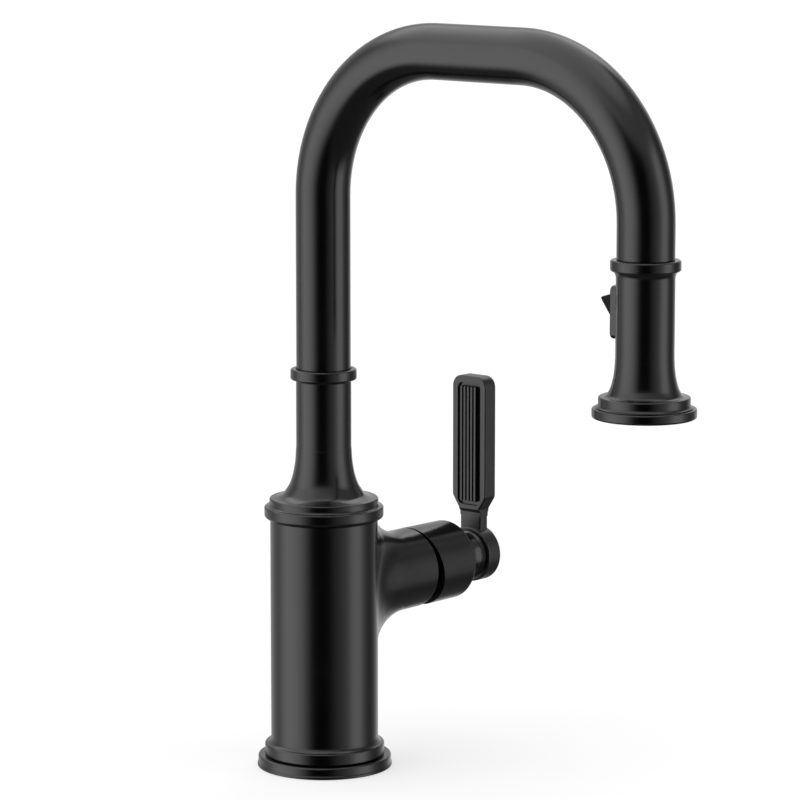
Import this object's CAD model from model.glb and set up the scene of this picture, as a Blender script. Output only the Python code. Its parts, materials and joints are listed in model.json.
# A black tap with a lever, and a wand and braided hose that pull out of its spout.
# Metres, +Z up. It stands on the floor at z = 0, and the spout reaches out along -Y to where
# the hose hangs. The round handle cap lies along X. The camera looks from the -X, -Y side.
import json
import math

import bpy
import numpy as np
from mathutils import Matrix, Vector


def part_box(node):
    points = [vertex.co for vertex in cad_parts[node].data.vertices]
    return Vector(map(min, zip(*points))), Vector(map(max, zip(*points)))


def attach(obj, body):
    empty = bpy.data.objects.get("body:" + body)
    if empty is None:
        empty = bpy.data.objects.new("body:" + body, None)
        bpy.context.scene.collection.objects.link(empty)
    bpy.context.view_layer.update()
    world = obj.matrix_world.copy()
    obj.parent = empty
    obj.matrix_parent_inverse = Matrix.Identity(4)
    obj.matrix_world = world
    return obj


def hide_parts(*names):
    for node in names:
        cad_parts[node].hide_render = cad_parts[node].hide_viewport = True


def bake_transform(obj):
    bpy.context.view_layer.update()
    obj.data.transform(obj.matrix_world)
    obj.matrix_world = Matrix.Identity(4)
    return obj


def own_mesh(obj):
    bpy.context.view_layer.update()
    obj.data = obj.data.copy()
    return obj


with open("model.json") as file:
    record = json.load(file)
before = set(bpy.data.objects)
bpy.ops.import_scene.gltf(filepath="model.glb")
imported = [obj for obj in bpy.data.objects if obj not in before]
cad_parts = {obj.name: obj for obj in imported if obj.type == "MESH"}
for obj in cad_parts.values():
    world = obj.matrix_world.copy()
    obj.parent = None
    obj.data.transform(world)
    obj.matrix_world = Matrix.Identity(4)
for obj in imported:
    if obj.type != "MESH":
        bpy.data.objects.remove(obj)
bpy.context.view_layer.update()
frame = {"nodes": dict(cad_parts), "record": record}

scene = bpy.context.scene

HOSE_X, HOSE_Y = 0.0, -0.188    # vertical line shared by the hose and the diverter spring
HOSE_RADIUS = 0.0055
HOSE_TRAVEL = 0.14              # extra length that comes out with the wand

CAP_AXIS_Z = 0.0853             # height of the handle cap's axis
CAP_INNER_X = 0.0779            # the cap's inner walls lie below this x...
CAP_INNER_RADIUS = 0.0184       # ...and within this distance of its axis


def add_object(name, data):
    ob = bpy.data.objects.new(name, data)
    scene.collection.objects.link(ob)
    return ob


# ---------------------------------------------------------------------------
# Node helpers
# ---------------------------------------------------------------------------


class Nodes:
    """Builds the node tree of a material or world, starting from an empty one."""

    def __init__(self, owner):
        owner.use_nodes = True
        self.tree = owner.node_tree
        self.tree.nodes.clear()

    def add(self, kind, **props):
        node = self.tree.nodes.new(kind)
        for key, value in props.items():
            setattr(node, key, value)
        return node

    def link(self, source, socket):
        self.tree.links.new(source, socket)

    def put(self, socket, value):
        """Link a socket, or set a plain value."""
        if isinstance(value, bpy.types.NodeSocket):
            self.link(value, socket)
        else:
            socket.default_value = value

    def math(self, op, a, b=0.0, clamp=False):
        node = self.add("ShaderNodeMath", operation=op, use_clamp=clamp)
        self.put(node.inputs[0], a)
        self.put(node.inputs[1], b)
        return node.outputs[0]

    def dot(self, a, b):
        node = self.add("ShaderNodeVectorMath", operation="DOT_PRODUCT")
        self.put(node.inputs[0], a)
        self.put(node.inputs[1], b)
        return node.outputs["Value"]

    def noise(self, vector, scale, detail=2.0, rough=0.5):
        node = self.add("ShaderNodeTexNoise")
        self.link(vector, node.inputs["Vector"])
        node.inputs["Scale"].default_value = scale
        node.inputs["Detail"].default_value = detail
        node.inputs["Roughness"].default_value = rough
        return node.outputs["Fac"]

    def remap(self, value, span, to=(0.0, 1.0)):
        """Map the range span onto the range to, clamped."""
        node = self.add("ShaderNodeMapRange", clamp=True)
        self.link(value, node.inputs["Value"])
        for key, number in zip(("From Min", "From Max", "To Min", "To Max"), (*span, *to)):
            node.inputs[key].default_value = number
        return node.outputs["Result"]

    def mix_color(self, fac, a, b):
        """Mix two colours, each a socket or an RGB triple."""
        node = self.add("ShaderNodeMix", data_type="RGBA")
        self.put(node.inputs["Factor"], fac)
        for socket, color in ((node.inputs[6], a), (node.inputs[7], b)):
            self.put(socket, (*color, 1.0) if isinstance(color, tuple) else color)
        return node.outputs[2]

    def mix_value(self, fac, a, b):
        node = self.add("ShaderNodeMix", data_type="FLOAT")
        for key, value in (("Factor", fac), ("A", a), ("B", b)):
            self.put(node.inputs[key], value)
        return node.outputs["Result"]

    def bump(self, height, distance, normal):
        node = self.add("ShaderNodeBump")
        self.link(height, node.inputs["Height"])
        node.inputs["Distance"].default_value = distance
        node.inputs["Strength"].default_value = 1.0
        self.link(normal, node.inputs["Normal"])
        return node.outputs["Normal"]


def edge_mask(nodes, radius, gain):
    """Bright near outer edges, where the rounded normal leaves the true one.
    Returns the mask and the rounded normal."""
    bevel = nodes.add("ShaderNodeBevel", samples=4)
    bevel.inputs["Radius"].default_value = radius
    geometry = nodes.add("ShaderNodeNewGeometry")
    agreement = nodes.dot(bevel.outputs[0], geometry.outputs["Normal"])
    turned = nodes.math("SUBTRACT", 1.0, agreement)
    return nodes.math("MULTIPLY", turned, gain, clamp=True), bevel.outputs[0]


# ---------------------------------------------------------------------------
# Materials
# ---------------------------------------------------------------------------


def finish_material(name, low, high, rough, edge_col, rough_var=0.06, metallic=0.0, cloud=38.0,
                    grain=2400.0, grain_h=4e-6, peel=420.0, peel_h=8e-6, edge_r=0.0005,
                    edge_gain=5.0, edge_rough=0.0, coat=0.0, spec=0.5, lathe_pitch=None,
                    lathe_depth=0.0, subsurface=0.0, sheen=0.0, coords="Object"):
    """A worn surface: clouded colour, mottled roughness, fine grain, soft waviness, rubbed edges.

    The colour drifts between low and high. cloud, grain and peel are the noise scales of the
    drift, the grain and the waviness; grain_h and peel_h are relief heights. edge_* set the
    rubbed edges' colour, width, strength and added roughness. lathe_* set turning rings along Z.
    """
    mat = bpy.data.materials.new(name)
    nodes = Nodes(mat)
    out = nodes.add("ShaderNodeOutputMaterial")
    shader = nodes.add("ShaderNodeBsdfPrincipled")
    nodes.link(shader.outputs[0], out.inputs[0])
    co = nodes.add("ShaderNodeTexCoord").outputs[coords]

    drift = nodes.noise(co, scale=cloud, detail=4.0, rough=0.6)
    fine = nodes.noise(co, scale=grain, rough=0.55)
    wave = nodes.noise(co, scale=peel, detail=1.0, rough=0.4)

    # Colour: drift, then specks, then rubbed edges broken up by patches
    base = nodes.mix_color(nodes.remap(drift, span=(0.3, 0.7)), low, high)
    speck = nodes.remap(fine, span=(0.35, 0.65), to=(0.82, 1.18))
    tint = nodes.add("ShaderNodeHueSaturation")
    nodes.link(base, tint.inputs["Color"])
    nodes.link(speck, tint.inputs["Value"])
    rubbed, normal = edge_mask(nodes, edge_r, edge_gain)
    patches = nodes.noise(co, scale=cloud * 6.0, detail=3.0, rough=0.7)
    patches = nodes.remap(patches, span=(0.42, 0.68), to=(0.12, 1.0))
    worn = nodes.math("MULTIPLY", rubbed, patches, clamp=True)
    color = nodes.mix_color(worn, tint.outputs["Color"], edge_col)
    nodes.link(color, shader.inputs["Base Color"])

    # Roughness, kept above a small floor
    mottled = nodes.remap(drift, span=(0.25, 0.75), to=(rough - rough_var, rough + rough_var))
    mottled = nodes.math("ADD", mottled, nodes.remap(fine, span=(0.3, 0.7), to=(-0.02, 0.02)))
    if edge_rough:
        mottled = nodes.math("ADD", mottled, nodes.math("MULTIPLY", worn, edge_rough))
    nodes.link(nodes.math("MAXIMUM", mottled, 0.05), shader.inputs["Roughness"])

    # Relief
    normal = nodes.bump(wave, peel_h, normal)
    normal = nodes.bump(fine, grain_h, normal)
    if lathe_pitch:
        split = nodes.add("ShaderNodeSeparateXYZ")
        nodes.link(co, split.inputs[0])
        phase = nodes.math("MULTIPLY", split.outputs["Z"], math.tau / lathe_pitch)
        rings = nodes.math("SINE", phase)
        uneven = nodes.math("MULTIPLY", nodes.noise(co, scale=900.0), 1.5)
        rings = nodes.math("ADD", rings, uneven)
        normal = nodes.bump(rings, lathe_depth, normal)
    nodes.link(normal, shader.inputs["Normal"])

    values = {"Metallic": metallic, "IOR": 1.5, "Specular IOR Level": spec,
              "Coat Weight": coat, "Coat Roughness": 0.25, "Subsurface Weight": subsurface}
    if subsurface:
        values["Subsurface Scale"] = 0.002
    if sheen:
        values.update({"Sheen Weight": sheen, "Sheen Roughness": 0.5})
    for key, value in values.items():
        shader.inputs[key].default_value = value
    return mat


COATING = dict(
    low=(0.0008, 0.0008, 0.0009), high=(0.0016, 0.0016, 0.0017), rough=0.195, rough_var=0.025,
    edge_col=(0.03, 0.03, 0.031), edge_r=0.00045, edge_gain=2.2, edge_rough=0.06,
    grain=2600.0, grain_h=2.2e-6, peel=520.0, peel_h=3.0e-6)
LEVER_COATING = dict(COATING, rough=0.33, edge_gain=3.2, edge_col=(0.04, 0.04, 0.041))

MATERIALS = {
    "satin_black_metal": finish_material("satin_black_coating", **COATING),
    "satin_black_lever": finish_material("satin_black_lever_coating", **LEVER_COATING),
    "black_plastic": finish_material(
        "moulded_black_plastic", low=(0.004, 0.004, 0.0042), high=(0.007, 0.007, 0.0072),
        rough=0.42, grain=3600.0, grain_h=7e-6, edge_col=(0.03, 0.03, 0.03), edge_gain=2.0),
    "rocker_black": finish_material(
        "soft_touch_rocker", low=(0.0016, 0.0016, 0.0017), high=(0.003, 0.003, 0.0031),
        rough=0.50, spec=0.10, grain=3600.0, grain_h=8e-6, edge_col=(0.02, 0.02, 0.02),
        edge_gain=2.0),
    "inner_black": finish_material(
        "unlit_bonnet_black", low=(0.001, 0.001, 0.001), high=(0.002, 0.002, 0.002),
        rough=0.5, spec=0.08, grain=1800.0, grain_h=6e-6, edge_col=(0.01, 0.01, 0.01),
        edge_gain=1.0),
    "grey_plastic": finish_material(
        "moulded_grey_plastic", low=(0.13, 0.13, 0.135), high=(0.19, 0.19, 0.195),
        rough=0.45, grain=3000.0, grain_h=6e-6, edge_col=(0.3, 0.3, 0.3), edge_gain=2.0),
    "nylon": finish_material(
        "natural_nylon", low=(0.70, 0.68, 0.60), high=(0.82, 0.81, 0.76), rough=0.38,
        cloud=60.0, edge_col=(0.9, 0.89, 0.85), subsurface=0.2),
    "rubber": finish_material(
        "soft_rubber", low=(0.014, 0.014, 0.014), high=(0.03, 0.03, 0.03), rough=0.62,
        grain=4200.0, grain_h=9e-6, edge_col=(0.06, 0.06, 0.058), edge_gain=1.5, sheen=0.15),
    "brass": finish_material(
        "machined_brass", low=(0.62, 0.42, 0.16), high=(0.78, 0.57, 0.27), rough=0.27,
        metallic=1.0, cloud=80.0, edge_col=(0.9, 0.72, 0.4), lathe_pitch=0.00035,
        lathe_depth=6e-6),
    "copper_tube": finish_material(
        "drawn_copper", low=(0.62, 0.27, 0.16), high=(0.80, 0.42, 0.28), rough=0.3,
        metallic=1.0, cloud=50.0, edge_col=(0.9, 0.55, 0.38)),
    "steel": finish_material(
        "plain_stainless", low=(0.46, 0.46, 0.47), high=(0.60, 0.60, 0.61), rough=0.3,
        metallic=1.0, cloud=70.0, edge_col=(0.75, 0.75, 0.76), lathe_pitch=0.0003,
        lathe_depth=3e-6),
    "ceramic": finish_material(
        "lapped_alumina", low=(0.84, 0.83, 0.79), high=(0.92, 0.91, 0.88), rough=0.22,
        cloud=90.0, edge_col=(0.95, 0.95, 0.93), coat=0.2),
    "hose": finish_material(
        "braided_hose_sleeve", low=(0.018, 0.018, 0.02), high=(0.05, 0.05, 0.054), rough=0.5,
        cloud=120.0, grain=3800.0, grain_h=1.6e-5, edge_col=(0.09, 0.09, 0.095),
        edge_gain=2.0, sheen=0.3),
}
# Pieces whose finish differs from the one their slot names
OVERRIDES = {"lever": "satin_black_lever", "rocker_button": "rocker_black",
             "bonnet": "inner_black"}

slot_of = {part["node"]: part["material_slot"] for part in frame["record"]["subparts"]}
for name, ob in frame["nodes"].items():
    ob.data.materials.clear()
    ob.data.materials.append(MATERIALS[OVERRIDES.get(name, slot_of[name])])

# The walls inside the handle cap never catch the light
cap = frame["nodes"].get("handle_cap")
if cap:
    cap.data.materials.append(MATERIALS["inner_black"])
    for poly in cap.data.polygons:
        center = cap.matrix_world @ poly.center
        off_axis = math.hypot(center.y, center.z - CAP_AXIS_Z)
        if center.x < CAP_INNER_X and off_axis < CAP_INNER_RADIUS:
            poly.material_index = 1

# ---------------------------------------------------------------------------
# Braided hose: the length that comes out of the spout with the wand
# ---------------------------------------------------------------------------
BRAID_RINGS, BRAID_AROUND = 520, 144
BRAID_STRANDS = 12      # in each of the two crossing sets
BRAID_PITCH = 0.034     # length in which a strand goes once round
BRAID_DEPTH = 0.00042
UNDER_HEIGHT = 0.45     # height of the strand passing under, as a share of the one on top


def weave_height(phi, along):
    """Height of the weave, 0 to 1, from two sets of strands crossing over and under."""
    turn = math.tau / BRAID_PITCH
    cells, crowns = [], []
    for twist in (turn, -turn):
        strand = (phi + twist * along) * BRAID_STRANDS / math.tau
        cell = np.floor(strand)
        cells.append(cell)
        crowns.append(1 - (2 * (strand - cell) - 1) ** 4)
    first_on_top = (cells[0] + cells[1]) % 2 > 0.5
    return np.maximum(crowns[0] * np.where(first_on_top, 1.0, UNDER_HEIGHT),
                      crowns[1] * np.where(first_on_top, UNDER_HEIGHT, 1.0))


def braided_hose(z_top, z_end):
    """A woven sleeve. Its rings are spaced so that the weave is even when the hose is fully
    drawn out; at rest it is folded up inside the spout."""
    length = z_top - z_end
    full = length + HOSE_TRAVEL
    rest = np.linspace(0.0, 1.0, 4001)
    ease = rest * rest * (3 - 2 * rest)
    drawn = (length * rest + HOSE_TRAVEL * ease) / full
    share = np.linspace(0.0, 1.0, BRAID_RINGS)
    z = z_top - length * np.interp(share, drawn, rest)
    phi = np.linspace(0.0, math.tau, BRAID_AROUND, endpoint=False)[None, :]
    height = weave_height(phi, (share * full)[:, None])
    radius = HOSE_RADIUS - BRAID_DEPTH * (1 - height)
    verts = np.stack([HOSE_X + radius * np.cos(phi), HOSE_Y + radius * np.sin(phi),
                      np.broadcast_to(z[:, None], radius.shape)], -1).reshape(-1, 3)

    ring = np.arange(BRAID_RINGS - 1)[:, None] * BRAID_AROUND
    here = np.arange(BRAID_AROUND)[None, :]
    beside = (here + 1) % BRAID_AROUND
    below = ring + BRAID_AROUND
    faces = np.stack([ring + here, below + here, below + beside, ring + beside], -1)
    mesh = bpy.data.meshes.new("hose_braid")
    mesh.from_pydata(verts.tolist(), [], faces.reshape(-1, 4).tolist())
    mesh.update()

    # UVs in metres: round the hose, and along it when drawn out
    weave_uv = mesh.uv_layers.new(name="weave")
    corner = np.zeros(len(mesh.loops), np.int64)
    mesh.loops.foreach_get("vertex_index", corner)
    u = (corner % BRAID_AROUND) / BRAID_AROUND * (math.tau * HOSE_RADIUS)
    v = share[corner // BRAID_AROUND] * full
    weave_uv.data.foreach_set("uv", np.stack([u, v], -1).astype(np.float32).ravel())
    for poly in mesh.polygons:
        poly.use_smooth = True
    return add_object("hose_braid", mesh)


pull_hose = finish_material(
    "braided_hose_pull", low=(0.02, 0.02, 0.022), high=(0.055, 0.055, 0.06), rough=0.46,
    cloud=150.0, grain=5200.0, grain_h=1.2e-5, peel=1500.0, edge_col=(0.1, 0.1, 0.105),
    edge_r=0.0002, edge_gain=1.6, sheen=0.35, coords="UV")
lo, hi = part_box("hose_reach")
braid = braided_hose(hi.z, lo.z)
braid.data.materials.append(pull_hose)
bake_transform(braid)
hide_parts("hose_reach")

# ---------------------------------------------------------------------------
# Diverter spring: shortens as the plunger comes down on it
# ---------------------------------------------------------------------------
spring = frame["nodes"]["diverter_spring"]
coil = add_object("diverter_coil", spring.data.copy())
coil.matrix_world = spring.matrix_world.copy()
bpy.context.view_layer.update()
lo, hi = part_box("diverter_spring")
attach(coil, "wand")
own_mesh(coil)
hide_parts("diverter_spring")

# ---------------------------------------------------------------------------
# Camera
# ---------------------------------------------------------------------------
cam_data = bpy.data.cameras.new("photo_camera")
cam_data.sensor_fit = "HORIZONTAL"
cam_data.sensor_width = 36.0
cam_data.lens = 173.28915
cam_data.clip_start, cam_data.clip_end = 0.05, 200.0
cam = add_object("photo_camera", cam_data)
level_right = Vector((0.65948, -0.75172, 0.0)).normalized()
back = Vector((-0.74254, -0.65143, 0.15579)).normalized()    # from the tap to the camera
up = back.cross(level_right).normalized()
right = up.cross(back).normalized()
pose = Matrix((right, up, back)).transposed().to_4x4()
pose.translation = Vector((-1.307474, -1.194302, 0.453048))
cam.matrix_world = pose
scene.camera = cam

# ---------------------------------------------------------------------------
# Floor: a pale disc, partly glowing
# ---------------------------------------------------------------------------
FLOOR_SEGMENTS = 96
FLOOR_RADII = (0.5, 2.0, 6.0, 14.0)
FLOOR_Z = -0.0002       # just below the tap's foot


def floor_mesh():
    angles = [math.tau * i / FLOOR_SEGMENTS for i in range(FLOOR_SEGMENTS)]
    verts = [(0.0, 0.0, 0.0)]
    verts += [(r * math.cos(a), r * math.sin(a), 0.0) for r in FLOOR_RADII for a in angles]
    pairs = [(i, (i + 1) % FLOOR_SEGMENTS) for i in range(FLOOR_SEGMENTS)]
    faces = [(0, 1 + i, 1 + j) for i, j in pairs]
    for ring in range(len(FLOOR_RADII) - 1):
        inner = 1 + ring * FLOOR_SEGMENTS
        outer = inner + FLOOR_SEGMENTS
        faces += [(inner + i, outer + i, outer + j, inner + j) for i, j in pairs]
    mesh = bpy.data.meshes.new("studio_floor")
    mesh.from_pydata(verts, [], faces)
    mesh.update()
    return mesh


def floor_material():
    mat = bpy.data.materials.new("pale_floor")
    nodes = Nodes(mat)
    out = nodes.add("ShaderNodeOutputMaterial")
    co = nodes.add("ShaderNodeTexCoord").outputs["Object"]
    diffuse = nodes.add("ShaderNodeBsdfDiffuse")
    shades = (0.86, 0.88)
    grey = nodes.remap(nodes.noise(co, scale=3.0, detail=3.0), span=(0.3, 0.7), to=shades)
    rgb = nodes.add("ShaderNodeCombineColor")
    for channel in range(3):
        nodes.link(grey, rgb.inputs[channel])
    nodes.link(rgb.outputs[0], diffuse.inputs["Color"])
    glow = nodes.add("ShaderNodeEmission")
    nodes.put(glow.inputs["Strength"], nodes.remap(grey, span=shades, to=(0.985, 1.0)))
    both = nodes.add("ShaderNodeMixShader")
    both.inputs["Fac"].default_value = 0.6      # share of glow
    nodes.link(diffuse.outputs[0], both.inputs[1])
    nodes.link(glow.outputs[0], both.inputs[2])
    nodes.link(both.outputs[0], out.inputs[0])
    return mat


floor = add_object("studio_floor", floor_mesh())
floor.location.z = FLOOR_Z
floor.data.materials.append(floor_material())
floor.visible_glossy = False      # the coating mirrors only the studio around it
floor.visible_shadow = False

# ---------------------------------------------------------------------------
# Studio light: soft boxes on both sides of the camera, a soft ceiling and a
# white surround, painted on the world by direction
# ---------------------------------------------------------------------------
PEAK = 3.2              # brightness at the top of the curves
TOP_LIGHT = 1.7         # straight overhead
LOW_LIGHT = 0.14        # from below
# (degrees round the tap from the camera, positive to its right; brightness)
SIDES = [
    (-180, 0.68), (-170, 0.60), (-160, 0.58), (-150, 0.64), (-140, 0.63), (-130, 0.57),
    (-120, 0.56), (-110, 0.80), (-100, 1.38), (-90, 1.96), (-80, 2.31), (-70, 2.30),
    (-60, 2.10), (-50, 1.72), (-40, 1.04), (-30, 0.40), (-20, 0.04), (-10, 0.0), (0, 0.0),
    (10, 0.04), (20, 0.21), (30, 0.38), (40, 0.58), (50, 0.86), (60, 1.48), (70, 1.98),
    (80, 1.86), (90, 1.14), (100, 0.52), (110, 0.26), (120, 0.20), (130, 0.31), (140, 0.50),
    (150, 0.74), (160, 0.86), (170, 0.84), (180, 0.68),
]
CEILING = [
    (-180, 1.60), (-160, 1.80), (-140, 2.10), (-120, 2.00), (-90, 1.85), (-60, 1.80),
    (-30, 1.20), (0, 0.80), (60, 0.60), (100, 0.50), (115, 0.42), (125, 0.28), (136, 0.42),
    (144, 1.20), (152, 2.10), (166, 1.95), (180, 1.60),
]


def light_round(nodes, bearing, stops):
    """Brightness by bearing, a full turn of which runs from 0 to 1."""
    curve = nodes.add("ShaderNodeFloatCurve")
    points = curve.mapping.curves[0].points
    first, *middle, last = [(degrees / 360.0 + 0.5, level / PEAK) for degrees, level in stops]
    points[0].location = first
    for stop in middle:
        points.new(*stop)
    points[-1].location = last
    curve.mapping.update()
    nodes.link(bearing, curve.inputs["Value"])
    return nodes.math("MAXIMUM", nodes.math("MULTIPLY", curve.outputs[0], PEAK), 0.0)


def paint_world(world):
    nodes = Nodes(world)
    out = nodes.add("ShaderNodeOutputWorld")
    direction = nodes.add("ShaderNodeTexCoord").outputs["Generated"]
    toward = nodes.dot(direction, tuple(Vector((back.x, back.y, 0.0)).normalized()))
    sideways = nodes.dot(direction, tuple(right))
    angle = nodes.math("ARCTAN2", sideways, toward)
    bearing = nodes.math("ADD", nodes.math("DIVIDE", angle, math.tau), 0.5)
    split = nodes.add("ShaderNodeSeparateXYZ")
    nodes.link(direction, split.inputs[0])
    z = split.outputs["Z"]

    # Sides, then ceiling, then overhead, as the direction rises
    light = nodes.mix_value(nodes.remap(z, span=(0.45, 0.60)),
                            light_round(nodes, bearing, SIDES),
                            light_round(nodes, bearing, CEILING))
    light = nodes.mix_value(nodes.remap(z, span=(0.80, 0.92)), light, TOP_LIGHT)
    # The dark underside reaches higher on the camera's right
    lift = nodes.remap(sideways, span=(-0.2, 0.5), to=(0.0, 0.14))
    low_z = nodes.math("SUBTRACT", z, lift)
    light = nodes.mix_value(nodes.remap(low_z, span=(-0.50, -0.70)), light, LOW_LIGHT)
    # The camera itself sees plain white
    camera_ray = nodes.add("ShaderNodeLightPath").outputs["Is Camera Ray"]
    seen = nodes.mix_value(camera_ray, light, 1.0)
    background = nodes.add("ShaderNodeBackground")
    nodes.link(seen, background.inputs["Strength"])
    background.inputs["Color"].default_value = (1.0, 1.0, 1.0, 1.0)
    nodes.link(background.outputs[0], out.inputs[0])


scene.world = bpy.data.worlds.new("studio")
paint_world(scene.world)

scene.view_settings.view_transform = "Standard"
scene.view_settings.look = "None"
scene.view_settings.exposure = 0.0
scene.view_settings.gamma = 1.0
scene.cycles.max_bounces = 6
scene.cycles.sample_clamp_indirect = 4.0
